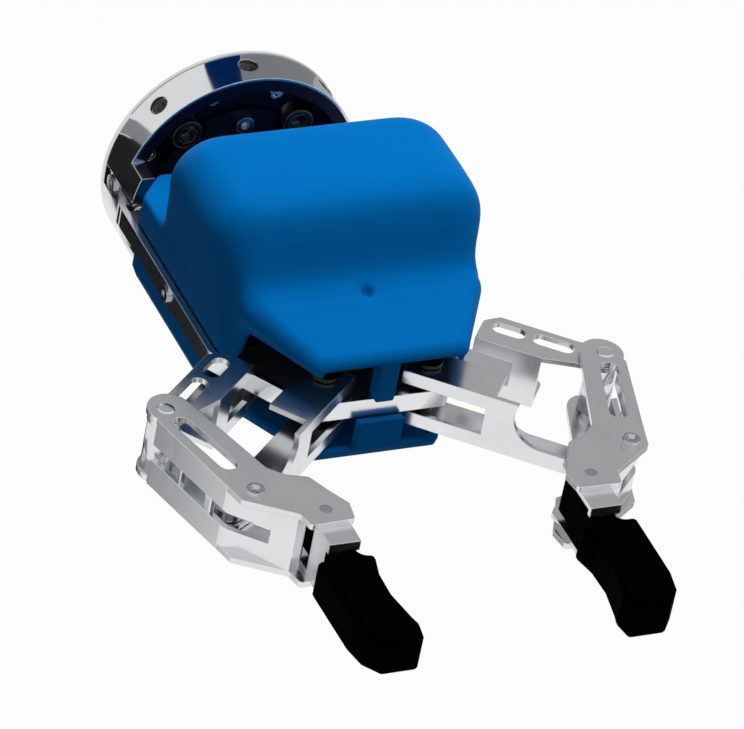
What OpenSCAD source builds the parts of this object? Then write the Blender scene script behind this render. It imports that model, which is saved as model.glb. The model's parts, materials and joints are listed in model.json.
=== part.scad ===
// Electric two finger gripper: a coupling ring, a banded chassis between two covers,
// and two fingers that stay parallel on a pair of links each.
// Frame: z = 0 is the mounting face, +Z runs to the fingertips, -Y is the motor bulge side.

/* [Coupling ring] */
// outer diameter of the ring that meets the robot wrist
ring_d = 75; // [60:1:90]
// height of the plain ring wall
ring_h = 14; // [10:1:20]
// thickness of the ring wall
ring_wall = 4; // [3:0.5:6]
// how far the side lugs stand above the ring
lug_h = 8.2; // [6:0.2:8.4]
// half width of each side lug
lug_y = 12; // [9:0.5:12]
// thickness of the disc inside the ring
disc_h = 7; // [5:1:9]
// bolt circle of the wrist pattern
bolt_circle_d = 50; // [40:1:56]
// clearance hole for the wrist bolts
bolt_hole_d = 6.6; // [5.5:0.1:7]
// pilot recess that takes the wrist spigot
pilot_d = 31.5; // [25:0.5:36]

/* [Chassis] */
// how far the frame band stands outside the ring
band_over = 3.5; // [2.5:0.5:6]
// width of the frame band across the gripper
band_w = 6; // [5:0.5:8]
// thickness of the band strip
band_t = 2; // [1.5:0.25:3]
// height where the band starts to chamfer inwards
band_chamfer_z = 91.6; // [86:0.2:96]
// half width of the straight front of the band
front_x = 21; // [18:0.5:24]
// height of the front of the band
front_z = 121; // [116:0.5:126]
// thickness of the chassis plate inside the band
plate_t = 5; // [4:0.5:6]

/* [Linkage] */
// base pivot of the outer link, sideways
pivot_a_x = 27; // [25:0.5:29]
// base pivot of the outer link, height
pivot_a_z = 89; // [86:0.5:92]
// base pivot of the inner link, sideways
pivot_b_x = 16; // [15:0.5:17]
// base pivot of the inner link, height
pivot_b_z = 115; // [112:0.5:117]
// sideways reach of both links in the rest pose
link_dx = 40.7; // [36:0.1:44]
// rise of both links in the rest pose
link_dz = 34; // [30:0.1:38]
// sheet thickness of the links
link_t = 1.6; // [1.2:0.1:2]
// outside of the link legs, from the middle plane
link_y = 8.9; // [8:0.1:9.5]
// radius of the base pivot pins
base_pin_r = 3; // [2.5:0.1:3.5]
// radius of the finger pivot pins
finger_pin_r = 2.5; // [2:0.1:3]
// radial running clearance of every pivot
pivot_gap = 0.06; // [0.03:0.01:0.1]
// side gap between moving sheets
side_gap = 0.3; // [0.3:0.05:0.4]

/* [Fingers] */
// sheet thickness of the finger bracket
bracket_t = 1.8; // [1.4:0.1:2.2]
// half thickness of the rubber tip
tip_y = 6; // [5:0.25:7]
// length of the rubber tip beyond its shoulder
tip_len = 36; // [30:1:42]
// length of the grip pad hollow
tip_hollow = 1.6; // [0.5:0.1:2.5]

/* [Covers] */
// wall thickness of both covers
cover_t = 2.4; // [2:0.1:3]
// step from the band's outside to the cover's side
cover_in = 2.5; // [2.5:0.25:4]
// height of the flange side edge of the covers
cover_z0 = 21.5; // [20:0.5:24]
// height of the front edge of the front cover
cover_z1 = 128; // [126:0.5:130]
// depth of the motor bulge from the middle plane
bulge_y = 47; // [44:0.5:50]
// how far the bulge stands over the cover's side
bulge_over = 4; // [2:0.5:5]
// outside of the rear cover, from the middle plane
rear_y = 16.5; // [16:0.5:18]

/* [Drive] */
// tooth size of the drive gears
gear_m = 1.5; // [1.5:0.1:1.5]
// teeth on the motor pinion
pinion_teeth = 12; // [12:1:12]
// direction of the pinion from the left outer base pivot
pinion_dir = 214; // [212:0.5:215]
// radius of the motor can
motor_r = 13; // [11:0.5:13.5]
// length of the motor can
can_l = 15; // [13:0.5:16]
// length of the gearbox in front of the motor
gearbox_l = 13.5; // [12:0.5:14]
// thickness of the motor's mounting flange
flange_t = 2; // [1.5:0.1:2.2]
// gap from the cover's side to the control board
board_gap = 12.7; // [12:0.1:16]
// height of the control board
board_h = 19; // [18.5:0.5:21]

/* [Hidden] */
$fn = 48;
ring_r = ring_d / 2;
ring_in = ring_r - ring_wall;
plate_y = plate_t / 2;
band_x = ring_r + band_over;
band_y = band_w / 2;
cover_x = band_x - cover_in;
skirt_y = 12.5;
skirt_z = cover_z1 - 4;
screw_r = 1.5;
rim_y = band_y + 0.1;
link_len = sqrt(link_dx * link_dx + link_dz * link_dz);
link_dir = atan2(link_dz, link_dx);
pivot_c_x = pivot_a_x + link_dx;
pivot_c_z = pivot_a_z + link_dz;
pivot_d_x = pivot_b_x + link_dx;
pivot_d_z = pivot_b_z + link_dz;
leg_in = link_y - link_t;
bracket_in = link_y + side_gap;
bracket_y = bracket_in + bracket_t;
gear_teeth = round(2 * pivot_a_x / gear_m);
gear_r = gear_m * gear_teeth / 2;
gear_y0 = link_y + side_gap;
gear_y1 = gear_y0 + 1.9;
gear_y2 = gear_y1 + 0.2;
gear_y3 = gear_y2 + 2;
pinion_r = gear_m * pinion_teeth / 2;
motor_x = pivot_a_x + (gear_r + pinion_r) * cos(pinion_dir);
motor_z = pivot_a_z + (gear_r + pinion_r) * sin(pinion_dir);
pressure = 25;
backlash = 0.24;
shaft_r = 2.5;
knee_x = pivot_c_x - 5.4;
knee_z = pivot_c_z + 40.5;
web_z0 = pivot_c_z + 4.7;
shoulder_z = pivot_c_z + 65;
tip_z = shoulder_z + tip_len;
colour_steel = [0.78, 0.79, 0.80];
colour_dark = [0.20, 0.22, 0.26];
colour_blue = [0.02, 0.38, 0.70];
colour_rubber = [0.06, 0.06, 0.07];
colour_brass = [0.80, 0.66, 0.34];

// a flat profile drawn in X and Z, filled between two depths
module slab(y0, y1) {
    translate([0, y1, 0]) rotate([90, 0, 0]) linear_extrude(y1 - y0) children();
}

// a round bar along Y
module bar(x, z, r, y0, y1) {
    translate([x, y1, z]) rotate([90, 0, 0]) cylinder(r = r, h = y1 - y0);
}

// an obround from one centre to another
module obround(a, b, w) {
    d = b - a;
    n = [-d[1], d[0]] * w / 2 / norm(d);
    polygon([a + n, b + n, b - n, a - n]);
    translate(a) circle(d = w);
    translate(b) circle(d = w);
}

// link drawing frame: s along the link, n towards the fingertips
module link_frame(x, z) {
    translate([x, z]) rotate(link_dir) children();
}

module link_space(x, z) {
    translate([x, 0, z]) rotate([0, -link_dir, 0]) children();
}

// rounded polygon: fillets outside corners by r and inside corners by q
module soft(r, q = 0) {
    offset(r, $fn = 28) offset(-r - q, $fn = 28) offset(q, $fn = 28) children();
}

// ---- coupling ring ----

module coupling_ring() {
    color(colour_steel) difference() {
        union() {
            cylinder(r = ring_r, h = ring_h);
            intersection() {
                cylinder(r = ring_r, h = ring_h + lug_h);
                translate([-ring_r, -lug_y, 0]) cube([ring_d, 2 * lug_y, ring_h + lug_h]);
            }
        }
        translate([0, 0, -1]) cylinder(r = ring_in, h = ring_h + lug_h + 2);
        for (s = [-1, 1]) {
            translate([s * ring_r, 0, ring_h + 13]) cube([2 * ring_wall + 3, band_w + 0.8, 50], true);
            translate([s * ring_r, 0, 8]) cube([6, band_w + 0.8, 9], true);
        }
        for (a = [45:45:315]) if (a != 180) rotate([0, 0, a]) {
            translate([ring_in - 1, 0, ring_h / 2]) rotate([0, 90, 0]) cylinder(r = 1.6, h = 6);
            translate([ring_r - 1.4, 0, ring_h / 2]) rotate([0, 90, 0]) cylinder(r = 3, h = 3);
        }
        for (s = [-1, 1]) translate([s * (ring_in - 1), 0, ring_h / 2]) rotate([0, s * 90, 0])
            cylinder(r = 1.6, h = 8);
    }
}

module adapter_disc() {
    color(colour_dark) difference() {
        cylinder(r = ring_in - 0.05, h = disc_h);
        translate([0, 0, -1]) cylinder(d = pilot_d, h = 3.5);
        for (a = [45:90:315]) rotate([0, 0, a]) translate([bolt_circle_d / 2, 0, -1]) {
            cylinder(d = bolt_hole_d, h = disc_h + 2);
            translate([0, 0, disc_h - 1]) cylinder(d = 11, h = 4);
        }
        for (a = [0:90:270]) rotate([0, 0, a]) translate([19.5, 0, -1]) cylinder(r = 1.5, h = disc_h + 2);
        for (a = [0:45:315]) rotate([0, 0, a]) translate([ring_in - 5, 0, ring_h / 2 - 0.01])
            rotate([0, 90, 0]) cylinder(r = 1.5, h = 6);
    }
}

module ring_screws() {
    color(colour_steel) for (a = [45:45:315]) if (a != 180) rotate([0, 0, a])
        translate([0, 0, ring_h / 2]) rotate([0, 90, 0]) difference() {
            union() {
                translate([0, 0, ring_in - 4]) cylinder(r = 1.5, h = ring_wall + 3);
                translate([0, 0, ring_r - 1.4]) cylinder(r = 2.7, h = 1.2);
            }
            translate([0, 0, ring_r - 1]) cylinder(r = 1.3, h = 3, $fn = 6);
        }
}

// round plate that closes the middle of the disc and carries the cable
module clamp_plate() {
    color(colour_dark) translate([0, 0, disc_h]) difference() {
        cylinder(r = 23, h = 2);
        for (a = [45:90:315]) rotate([0, 0, a]) translate([bolt_circle_d / 2, 0, -1]) cylinder(r = 7, h = 4);
        for (a = [0:90:270]) rotate([0, 0, a]) translate([19.5, 0, -1]) cylinder(r = 1.6, h = 4);
        translate([0, 0, -1]) cylinder(r = 6, h = 4);
    }
}

module clamp_screws() {
    color(colour_steel) for (a = [0:90:270]) rotate([0, 0, a]) translate([19.5, 0, 0]) difference() {
        union() {
            translate([0, 0, 2]) cylinder(r = 1.5, h = disc_h);
            translate([0, 0, disc_h + 2]) cylinder(r = 2.75, h = 3);
        }
        translate([0, 0, disc_h + 3.4]) cylinder(r = 1.4, h = 3, $fn = 6);
    }
}

// ---- chassis ----

// outline of the band, inset by d
module band_outline(d) {
    k = (band_x - front_x) / (front_z - band_chamfer_z);
    c = d * (sqrt(1 + k * k) - 1) / k;
    f = d * (sqrt(1 + k * k) - k);
    polygon([
        [-band_x + d, 21.5], [band_x - d, 21.5],
        [band_x - d, band_chamfer_z - c], [front_x - f + 0 * k, front_z - d],
        [-front_x + f, front_z - d], [-band_x + d, band_chamfer_z - c]
    ]);
}

module frame_band() {
    color(colour_steel) difference() {
        union() {
            slab(-band_y, band_y) difference() {
                soft(2.5) band_outline(0);
                soft(1) union() {
                    band_outline(band_t);
                    translate([-band_x + band_t, 0]) square([2 * (band_x - band_t), 30]);
                }
            }
            for (s = [0, 1]) mirror([s, 0, 0]) slab(-band_y, band_y) polygon([
                [band_x, 23], [band_x, 21.5], [ring_in + 3.2, 12], [ring_in + 3.2, 4.5],
                [ring_in + 1.2, 4.5], [ring_in + 1.2, 12.6], [band_x - band_t, 22.1], [band_x - band_t, 23]
            ]);
        }
        for (s = [-1, 1]) translate([s * (ring_in - 1), 0, ring_h / 2]) rotate([0, s * 90, 0])
            cylinder(r = 1.6, h = 8);
        for (s = [-1, 1]) translate([s * band_x, 0, 60]) rotate([0, 90, 0]) cylinder(r = 1.6, h = 9, center = true);
    }
}

module band_screws() {
    color(colour_steel) for (s = [-1, 1]) {
        translate([s * (ring_in - 4), 0, ring_h / 2]) rotate([0, s * 90, 0]) difference() {
            union() {
                cylinder(r = 1.5, h = 7.2);
                translate([0, 0, 7.2]) cylinder(r = 2.6, h = 0.9);
            }
            translate([0, 0, 7.5]) cylinder(r = 1.2, h = 3, $fn = 6);
        }
        translate([s * (band_x - band_t - 4), 0, 60]) rotate([0, s * 90, 0]) difference() {
            union() {
                cylinder(r = 1.5, h = band_t + 4);
                translate([0, 0, band_t + 4]) cylinder(r = 2.6, h = 0.9);
            }
            translate([0, 0, band_t + 4.4]) cylinder(r = 1.2, h = 3, $fn = 6);
        }
    }
}

front_screw_at = [[cover_x - 7.7, 35.2], [7.7 - cover_x, 35.2], [0, 101]];
rear_screw_at = [[cover_x - 7.5, 35.2], [7.5 - cover_x, 35.2], [0, 108]];
flange_in = 7.5;
gearbox_y = flange_in + flange_t;
can_y = gearbox_y + gearbox_l;
cap_y = can_y + can_l;
board_x = cover_x - board_gap;
board_z = 27;
spacer_x = board_x - 2.8;
spacer_at = [for (z = [board_z + 3, board_z + board_h - 3], s = [-1, 1]) [s * spacer_x, z]];
mount_at = [45, 135, 225, 315];

module chassis_plate() {
    color(colour_steel) slab(-plate_y, plate_y) difference() {
        soft(1) intersection() {
            band_outline(band_t);
            translate([-50, 24]) square([100, 120]);
        }
        for (s = [-1, 1]) {
            translate([s * pivot_a_x, pivot_a_z]) circle(base_pin_r + 0.03);
            translate([s * pivot_b_x, pivot_b_z]) circle(base_pin_r + 0.03);
        }
        translate([motor_x, motor_z]) circle(5);
        for (p = concat(front_screw_at, rear_screw_at)) translate(p) circle(screw_r + 0.05);
        for (p = spacer_at) translate(p) circle(1.25);
        for (a = mount_at) translate([motor_x + 15.5 * cos(a), motor_z + 15.5 * sin(a)]) circle(1.6);
        for (s = [-1, 1]) translate([s * (band_x - band_t), 60]) square([8, 3], true);
        soft(3) translate([-5, 80]) square([10, 22 - 8]);
    }
}

module outer_base_pins() {
    color(colour_steel) for (s = [-1, 1]) {
        bar(s * pivot_a_x, pivot_a_z, base_pin_r, -plate_y, gear_y3 + 0.3);
        difference() {
            bar(s * pivot_a_x, pivot_a_z, 5.5, plate_y, leg_in - side_gap);
            bar(s * pivot_a_x, pivot_a_z, base_pin_r, plate_y - 1, leg_in);
        }
    }
}

module inner_base_pins() {
    color(colour_steel) for (s = [-1, 1]) {
        bar(s * pivot_b_x, pivot_b_z, base_pin_r, -link_y - 1.5, link_y);
        bar(s * pivot_b_x, pivot_b_z, 4.2, -link_y - 1.5, -link_y - side_gap);
        for (q = [-1, 1]) difference() {
            bar(s * pivot_b_x, pivot_b_z, 3.8, q > 0 ? plate_y : -leg_in + side_gap,
                q > 0 ? leg_in - side_gap : -plate_y);
            bar(s * pivot_b_x, pivot_b_z, base_pin_r, -20, 20);
        }
    }
}

// ---- covers ----

// outline shared by both covers, inset by t
module cover_outline(t, x, z1, fx) {
    rc = max(3 - t, 0.8);
    rf = max(2.4 - t, 0.8);
    hull() for (s = [-1, 1]) {
        translate([s * (x - 9 - 0.5 * t), cover_z0 + t + rc]) circle(rc, $fn = 24);
        translate([s * (x - t - rc), cover_z0 + 9.5 + t]) circle(rc, $fn = 24);
        translate([s * (x - t - rc), band_chamfer_z - 0.4 * t - rc]) circle(rc, $fn = 24);
        translate([s * (fx - 0.6 * t - rf), z1 - t - rf]) circle(rf, $fn = 16);
    }
}

// form lines of the front cover: height, depth, half width and corner radius
form_lines = [
    [cover_z0 + 1.5, skirt_y + 0.5, 22, 3], [30, 22, 26, 9], [36, 30, 28.5, 12],
    [42, bulge_y - 9.2, cover_x - 4.5, 14], [48, bulge_y - 1.4, cover_x + 2, 13],
    [54, bulge_y, cover_x + bulge_over - 0.3, 9], [83, bulge_y, cover_x + bulge_over, 8],
    [89, bulge_y - 10.5, cover_x + bulge_over - 0.4, 7], [92, 28.6, cover_x + 3.1, 5],
    [101, 25, cover_x - 1.6, 4], [cover_z1 - 7, 20.6, 24.4, 4], [cover_z1, 19, 22.6, 4]
];
nose_r = 3;

function form_at(z, k) = lookup(z, [for (f = form_lines) [f[0], f[k]]]);
// the form lines blended over a few millimetres
function form_soft(z, k) = (form_at(z - 2.6, k) + 2 * form_at(z - 1.3, k) + 2 * form_at(z, k)
    + 2 * form_at(z + 1.3, k) + form_at(z + 2.6, k)) / 8;
// rounding of the front edge
function nose_drop(z) = let(e = min(nose_r, max(0, z - cover_z1 + nose_r))) nose_r - sqrt(nose_r * nose_r - e * e);
function form_in(z, k, t) = min(form_soft(z - t, k), form_soft(z, k), form_soft(z + t, k)) - t - nose_drop(z + t);
// half width of the skirt at height z
function skirt_x(z) = cover_x - max(0, z - band_chamfer_z) * (cover_x - 22) / (skirt_z - band_chamfer_z);

// one closed section of the hood at height z, inset by t
function hood_ring(z, t) = let(
    d = max(form_in(z, 1, t), skirt_y - t + 0.3),
    w = form_in(z, 2, t),
    r = max(min(form_soft(z, 3) - t, d - 10.8), 0.5),
    half = concat([[min(w, skirt_x(z) - (t > 0 ? t + 0.15 : 0.1)), t > 0 ? 9 : 10]],
        [for (a = [0:t > 0 ? 22.5 : 15:90]) [w - r + r * cos(a), d - r + r * sin(a)]])
) concat([for (p = half) [p[0], -p[1], z]], [for (i = [len(half) - 1:-1:0]) [-half[i][0], -half[i][1], z]]);

// smooth hood lofted through its sections
module hood(t) {
    z0 = cover_z0 + 1.5 + 1.4 * t;
    z1 = cover_z1 - t;
    k = t > 0 ? 20 : 32;
    zs = concat([for (i = [0:k]) z0 + (z1 - nose_r - z0) * i / k],
        [for (a = [22.5:22.5:90]) z1 - nose_r + nose_r * sin(a)]);
    rings = [for (z = zs) hood_ring(z, t)];
    m = len(rings[0]);
    n = len(rings);
    polyhedron([for (r = rings) each r], concat(
        [[for (j = [m - 1:-1:0]) j]],
        [for (i = [0:n - 2]) for (j = [0:m - 1])
            [i * m + j, i * m + (j + 1) % m, (i + 1) * m + (j + 1) % m, (i + 1) * m + j]],
        [[for (j = [0:m - 1]) (n - 1) * m + j]]
    ));
}

// outside form of the front cover, inset by t
module front_form(t) {
    slab(t - skirt_y, t > 0 ? 1 - rim_y : -rim_y) cover_outline(t, cover_x, skirt_z, 22);
    hood(t);
}

// room for the links at the front corners
module link_cut(y0, y1, xin, zs) {
    for (s = [0, 1]) mirror([s, 0, 0]) slab(y0, y1) polygon([
        [60, zs], [36, zs], [30, zs + 6.5], [xin, 104.5], [xin, 140], [60, 140]
    ]);
}

module front_cover() {
    color(colour_blue) difference() {
        front_form(0);
        front_form(cover_t);
        link_cut(-14, 1, 5, 98);
        for (p = front_screw_at) bar(p[0], p[1], screw_r + 0.1, -60, 0);
        bar(0, front_screw_at[2][1], 2.9, -60, -21.5);
        for (i = [0, 1]) bar(front_screw_at[i][0], front_screw_at[i][1], 2.8, -60, -11.2);
        translate([-60, -60, 0]) cube([120, 120, cover_z0 + 0.2]);
    }
    // middle post between the two link openings
    color(colour_blue) translate([-5, -17, skirt_z - cover_t])
        cube([10, 17 - rim_y, cover_z1 - skirt_z + cover_t - 0.6]);
    color(colour_blue) for (p = front_screw_at) difference() {
        bar(p[0], p[1], 4.4, p[0] == 0 ? -24.2 : -11.2, -plate_y);
        bar(p[0], p[1], screw_r + 0.1, -60, 0);
        if (p[0] == 0) bar(p[0], p[1], 2.9, -60, -21.5);
    }
}

module rear_form(t) {
    x = cover_x - 0.5;
    if (t == 0) hull() {
        slab(rim_y, rear_y - 4) cover_outline(0, x, skirt_z, 20);
        slab(rear_y - 2, rear_y - 1.4) cover_outline(1, x, skirt_z, 20);
        slab(rear_y - 0.6, rear_y) cover_outline(3, x, skirt_z, 20);
    }
    else hull() {
        slab(rim_y - 1, rear_y - t - 2.2) cover_outline(t, x, skirt_z, 20);
        slab(rear_y - t - 0.5, rear_y - t) cover_outline(t + 1.6, x, skirt_z, 20);
    }
}

module rear_cover() {
    color(colour_blue) difference() {
        union() {
            difference() {
                rear_form(0);
                rear_form(cover_t);
                link_cut(-1, 12.6, 7, 83);
                translate([-22, gear_y0 - 1, cover_z0 - 3]) cylinder(r = 4, h = 9);
            }
            for (p = rear_screw_at) bar(p[0], p[1], 3.4, plate_y, rear_y - cover_t + 0.2);
        }
        for (p = rear_screw_at) {
            bar(p[0], p[1], screw_r + 0.1, 0, 60);
            bar(p[0], p[1], 2.9, rear_y - 1.6, 60);
        }
    }
}

// a countersunk dimple screw along Y, head at y, tip towards the chassis
module cover_screw(x, z, y, s) {
    difference() {
        union() {
            bar(x, z, screw_r, min(y, 0), max(y, 0));
            bar(x, z, 2.6, s > 0 ? y : y - 1.4, s > 0 ? y + 1.4 : y);
        }
        translate([x, y + s * 0.6, z]) rotate([s > 0 ? -90 : 90, 0, 0]) cylinder(r = 1.2, h = 3, $fn = 6);
    }
}

module front_cover_screws() {
    color(colour_dark) {
        for (i = [0, 1]) cover_screw(front_screw_at[i][0], front_screw_at[i][1], -11.2, -1);
        cover_screw(0, front_screw_at[2][1], -21.5, -1);
    }
}

module rear_cover_screws() {
    color(colour_dark) for (p = rear_screw_at) cover_screw(p[0], p[1], rear_y - 1.6, 1);
}

// ---- drive ----

function inv(a) = tan(a) * 180 / PI - a;
function flank(z, r) = let(rb = gear_m * z * cos(pressure) / 2)
    90 / z - backlash / (gear_m * z) * 90 / PI + inv(pressure) - inv(acos(min(1, rb / max(r, rb))));

// one gear tooth centred on angle a
module tooth(z, a) {
    rp = gear_m * z / 2;
    rb = rp * cos(pressure);
    ra = rp + gear_m * 0.92;
    rf = rp - gear_m * 1.25;
    r0 = max(rb, rf);
    n = 5;
    rr = [for (i = [0:n]) r0 + (ra - r0) * i / n];
    polygon(concat(
        [[(rf - 0.6) * cos(a + flank(z, r0)), (rf - 0.6) * sin(a + flank(z, r0))]],
        [for (i = [0:n]) [rr[i] * cos(a + flank(z, rr[i])), rr[i] * sin(a + flank(z, rr[i]))]],
        [for (i = [n:-1:0]) [rr[i] * cos(a - flank(z, rr[i])), rr[i] * sin(a - flank(z, rr[i]))]],
        [[(rf - 0.6) * cos(a - flank(z, r0)), (rf - 0.6) * sin(a - flank(z, r0))]]
    ));
}

// one fan shaped layer of teeth about the outer base pivot
module gear_layer(y0, y1, first, last, shift) {
    step = 360 / gear_teeth;
    rf = gear_r - gear_m * 1.25;
    a0 = 180 + (first + shift) * step - step * 0.35;
    a1 = 180 + (last + shift) * step + step * 0.35;
    slab(y0, y1) difference() {
        union() {
            circle(6.6);
            polygon(concat([[4, 0]], [for (i = [0:24]) let(a = a0 + (a1 - a0) * i / 24) [rf * cos(a), rf * sin(a)]]));
            for (k = [first:last]) tooth(gear_teeth, 180 + (k + shift) * step);
        }
        circle(base_pin_r + pivot_gap);
        for (a = [a0 + 20, a1 - 20]) translate([16 * cos(a), 16 * sin(a)]) circle(3.6);
    }
}

// collar that ties the layers to the outer link
module gear_collar(y1) {
    difference() {
        bar(0, 0, 6.9, link_y, y1);
        bar(0, 0, base_pin_r + pivot_gap, 0, 30);
    }
}

module left_sector_gear() {
    color(colour_brass) translate([pivot_a_x, 0, pivot_a_z]) {
        gear_layer(gear_y0, gear_y1, -5, 3, 0);
        gear_layer(gear_y2, gear_y3, -1, 6, 0);
        gear_collar(gear_y3 - 0.4);
    }
}

module right_sector_gear() {
    color(colour_brass) translate([-pivot_a_x, 0, pivot_a_z]) mirror([1, 0, 0]) {
        gear_layer(gear_y0, gear_y1, -4, 4, -0.5);
        gear_collar(gear_y1 - 0.4);
    }
}

module drive_pinion() {
    step = 360 / gear_teeth;
    d1 = 180 + round((pinion_dir - 180) / step) * step - pinion_dir;
    near = pinion_dir + 180 - d1 * gear_teeth / pinion_teeth + 180 / pinion_teeth;
    color(colour_steel) translate([motor_x, 0, motor_z]) {
        slab(gear_y2, gear_y3) {
            circle(pinion_r - gear_m * 1.25);
            for (k = [0:pinion_teeth - 1]) tooth(pinion_teeth, near + k * 360 / pinion_teeth);
        }
        bar(0, 0, 4, plate_y + 0.4, gear_y0 - 0.6);
        bar(0, 0, shaft_r, -14, gear_y3);
    }
}

module pinion_bush() {
    color(colour_brass) difference() {
        bar(motor_x, motor_z, 5, -plate_y, plate_y);
        bar(motor_x, motor_z, shaft_r + pivot_gap, -20, 20);
    }
}

module motor_mount() {
    color(colour_dark) {
        slab(-gearbox_y, -flange_in) difference() {
            translate([motor_x, motor_z]) circle(19);
            translate([motor_x, motor_z]) circle(4.5);
            for (a = mount_at) translate([motor_x + 15.5 * cos(a), motor_z + 15.5 * sin(a)]) circle(1.6);
        }
        for (a = mount_at) difference() {
            bar(motor_x + 15.5 * cos(a), motor_z + 15.5 * sin(a), 3.2, -flange_in, -plate_y);
            bar(motor_x + 15.5 * cos(a), motor_z + 15.5 * sin(a), 1.6, -20, 20);
        }
    }
}

module gearbox() {
    color(colour_steel) difference() {
        union() {
            bar(motor_x, motor_z, motor_r + 2, -can_y, -gearbox_y);
            bar(motor_x, motor_z, 4.4, -gearbox_y, -flange_in);
        }
        bar(motor_x, motor_z, shaft_r + pivot_gap, -14.5, 0);
        for (a = mount_at) bar(motor_x + 15.5 * cos(a), motor_z + 15.5 * sin(a), 3, -30, 0);
    }
}

module motor_can() {
    color(colour_dark) bar(motor_x, motor_z, motor_r, -cap_y, -can_y);
}

module motor_cap() {
    color(colour_steel) difference() {
        bar(motor_x, motor_z, motor_r - 2, -cap_y - 2, -cap_y);
        for (s = [-1, 1]) bar(motor_x + s * 6, motor_z, 1, -cap_y - 3, -cap_y - 1);
    }
}

module control_board() {
    color([0.05, 0.30, 0.18]) slab(-8.4, -6.8) difference() {
        translate([-board_x, board_z]) square([2 * board_x, board_h]);
        for (p = spacer_at) translate(p) circle(1.6);
    }
}

module board_parts() {
    color(colour_dark) {
        translate([-5, -10, board_z + 4]) cube([10, 1.6, 10]);
        translate([9, -9.6, board_z + 6]) cube([6, 1.2, 8]);
        translate([-18, -10.4, board_z + 6]) cube([9, 2, 5]);
        for (i = [0:3]) translate([8 + i * 3.4, -9.4, board_z + 15.6]) cube([2, 1, 1.2]);
    }
}

module board_spacers() {
    color(colour_brass) for (p = spacer_at) {
        bar(p[0], p[1], 2.2, -6.8, -plate_y);
        bar(p[0], p[1], 1.25, -8.4, 0);
        bar(p[0], p[1], 2.4, -9.4, -8.4);
    }
}

// round socket that points back at the wrist
module signal_socket() {
    color(colour_steel) translate([-22, gear_y0 - 1, 0]) difference() {
        union() {
            translate([0, 0, cover_z0 - 6.5]) cylinder(r = 4.9, h = 6.45);
            translate([0, 0, cover_z0 - 1]) cylinder(r = 3.9, h = 8);
        }
        translate([0, 0, cover_z0 - 7.5]) cylinder(r = 3.6, h = 2.5);
    }
}

// ---- links ----

module outer_link() {
    difference() {
        union() {
            // far leg around the base pivot
            slab(leg_in, link_y) link_frame(pivot_a_x, pivot_a_z) soft(2) union() {
                circle(7.2);
                polygon([[0, -7.2], [31, -6.4], [37, -1], [37, 9.1], [17, 9.1], [0, 7.2]]);
            }
            // near leg out to the finger
            slab(-link_y, -leg_in) link_frame(pivot_a_x, pivot_a_z) soft(1.5) union() {
                translate([link_len, 0]) circle(4.9);
                polygon([
                    [17, 9.1], [17, 0], [21, -3.8], [44, -3.8], [link_len, -4.9],
                    [link_len, 4.9], [46, 6.6], [37, 9.1]
                ]);
            }
            // web
            slab(-link_y, link_y) link_frame(pivot_a_x, pivot_a_z)
                translate([17, 9.1 - link_t]) square([20, link_t]);
        }
        // the web passes over the frame band on both sides of this slot
        link_space(pivot_a_x, pivot_a_z) translate([10, -4.2, 4]) cube([19, 8.4, 10]);
        bar(pivot_a_x, pivot_a_z, base_pin_r + pivot_gap, 0, 30);
        bar(pivot_c_x, pivot_c_z, finger_pin_r + pivot_gap, -30, 0);
        slab(-20, 0) link_frame(pivot_a_x, pivot_a_z) {
            obround([22.5, 1.2], [27.5, 1.2], 5);
            obround([34.5, 0.8], [42, 0.8], 5);
        }
    }
}

module inner_link() {
    difference() {
        union() {
            for (q = [0, 1]) mirror([0, q, 0]) slab(leg_in, link_y) link_frame(pivot_b_x, pivot_b_z) union() {
                circle(6);
                polygon([[-5.2, 7.2], [-5.2, 3], [0, -6], [22, -6], [22, 7.2]]);
            }
            // long leg on the rear side, out to the finger
            slab(leg_in, link_y) link_frame(pivot_b_x, pivot_b_z) soft(1.2, 3) union() {
                polygon([
                    [0, -6], [26, -6], [31, -3.6], [44, -3.6], [link_len - 2, -5], [link_len, 5.5],
                    [45, 7.2], [0, 7.2]
                ]);
                translate([link_len, 0]) circle(5.5);
            }
            slab(-link_y, link_y) link_frame(pivot_b_x, pivot_b_z)
                translate([-5.2, 7.2 - link_t]) square([50.2, link_t]);
        }
        link_space(pivot_b_x, pivot_b_z) {
            // open slot that clears the frame band
            translate([-8, -4.6, 3]) cube([28, 9.2, 8]);
            // everything but the rear strip is cut away towards the finger
            translate([37.5, -5.2, 0]) cylinder(r = 9.2, h = 20);
            translate([37.5, -14.4, 3]) cube([12, 18.4, 12]);
            translate([29, -14.4, 3]) cube([12, 9.6, 12]);
        }
        bar(pivot_b_x, pivot_b_z, base_pin_r + pivot_gap, -30, 30);
        bar(pivot_d_x, pivot_d_z, finger_pin_r + pivot_gap, 0, 30);
    }
}

// ---- fingers ----

// outer edge of the finger, from the arm top round the knee to the tip
function edge_path() = [
    [pivot_c_x + 9.3, pivot_c_z - 13.4],
    [knee_x + 0.9, knee_z - 3.4],
    [knee_x - 14, knee_z + 10.4],
    [knee_x - 15.6, knee_z + 12.4]
];

module bracket_outline() {
    soft(1.2, 2) union() {
        translate([pivot_c_x - 1.1, pivot_c_z]) circle(6.4);
        polygon([
            [pivot_c_x + 5.2, pivot_c_z - 0.5],
            [knee_x + 0.9, knee_z - 3.4], [knee_x - 0.4, knee_z + 1.6],
            [knee_x - 14, knee_z + 10.4], [knee_x - 15.3, knee_z + 15.6],
            [knee_x - 28.4, knee_z + 15.2], [knee_x - 29.4, knee_z + 8.6],
            [knee_x - 26, knee_z + 2.6], [knee_x - 22.6, knee_z - 4.4],
            [knee_x - 16.8, knee_z - 6.4], [knee_x - 12.4, knee_z - 10.6],
            [pivot_c_x - 7.2, pivot_c_z - 2]
        ]);
    }
}

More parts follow.
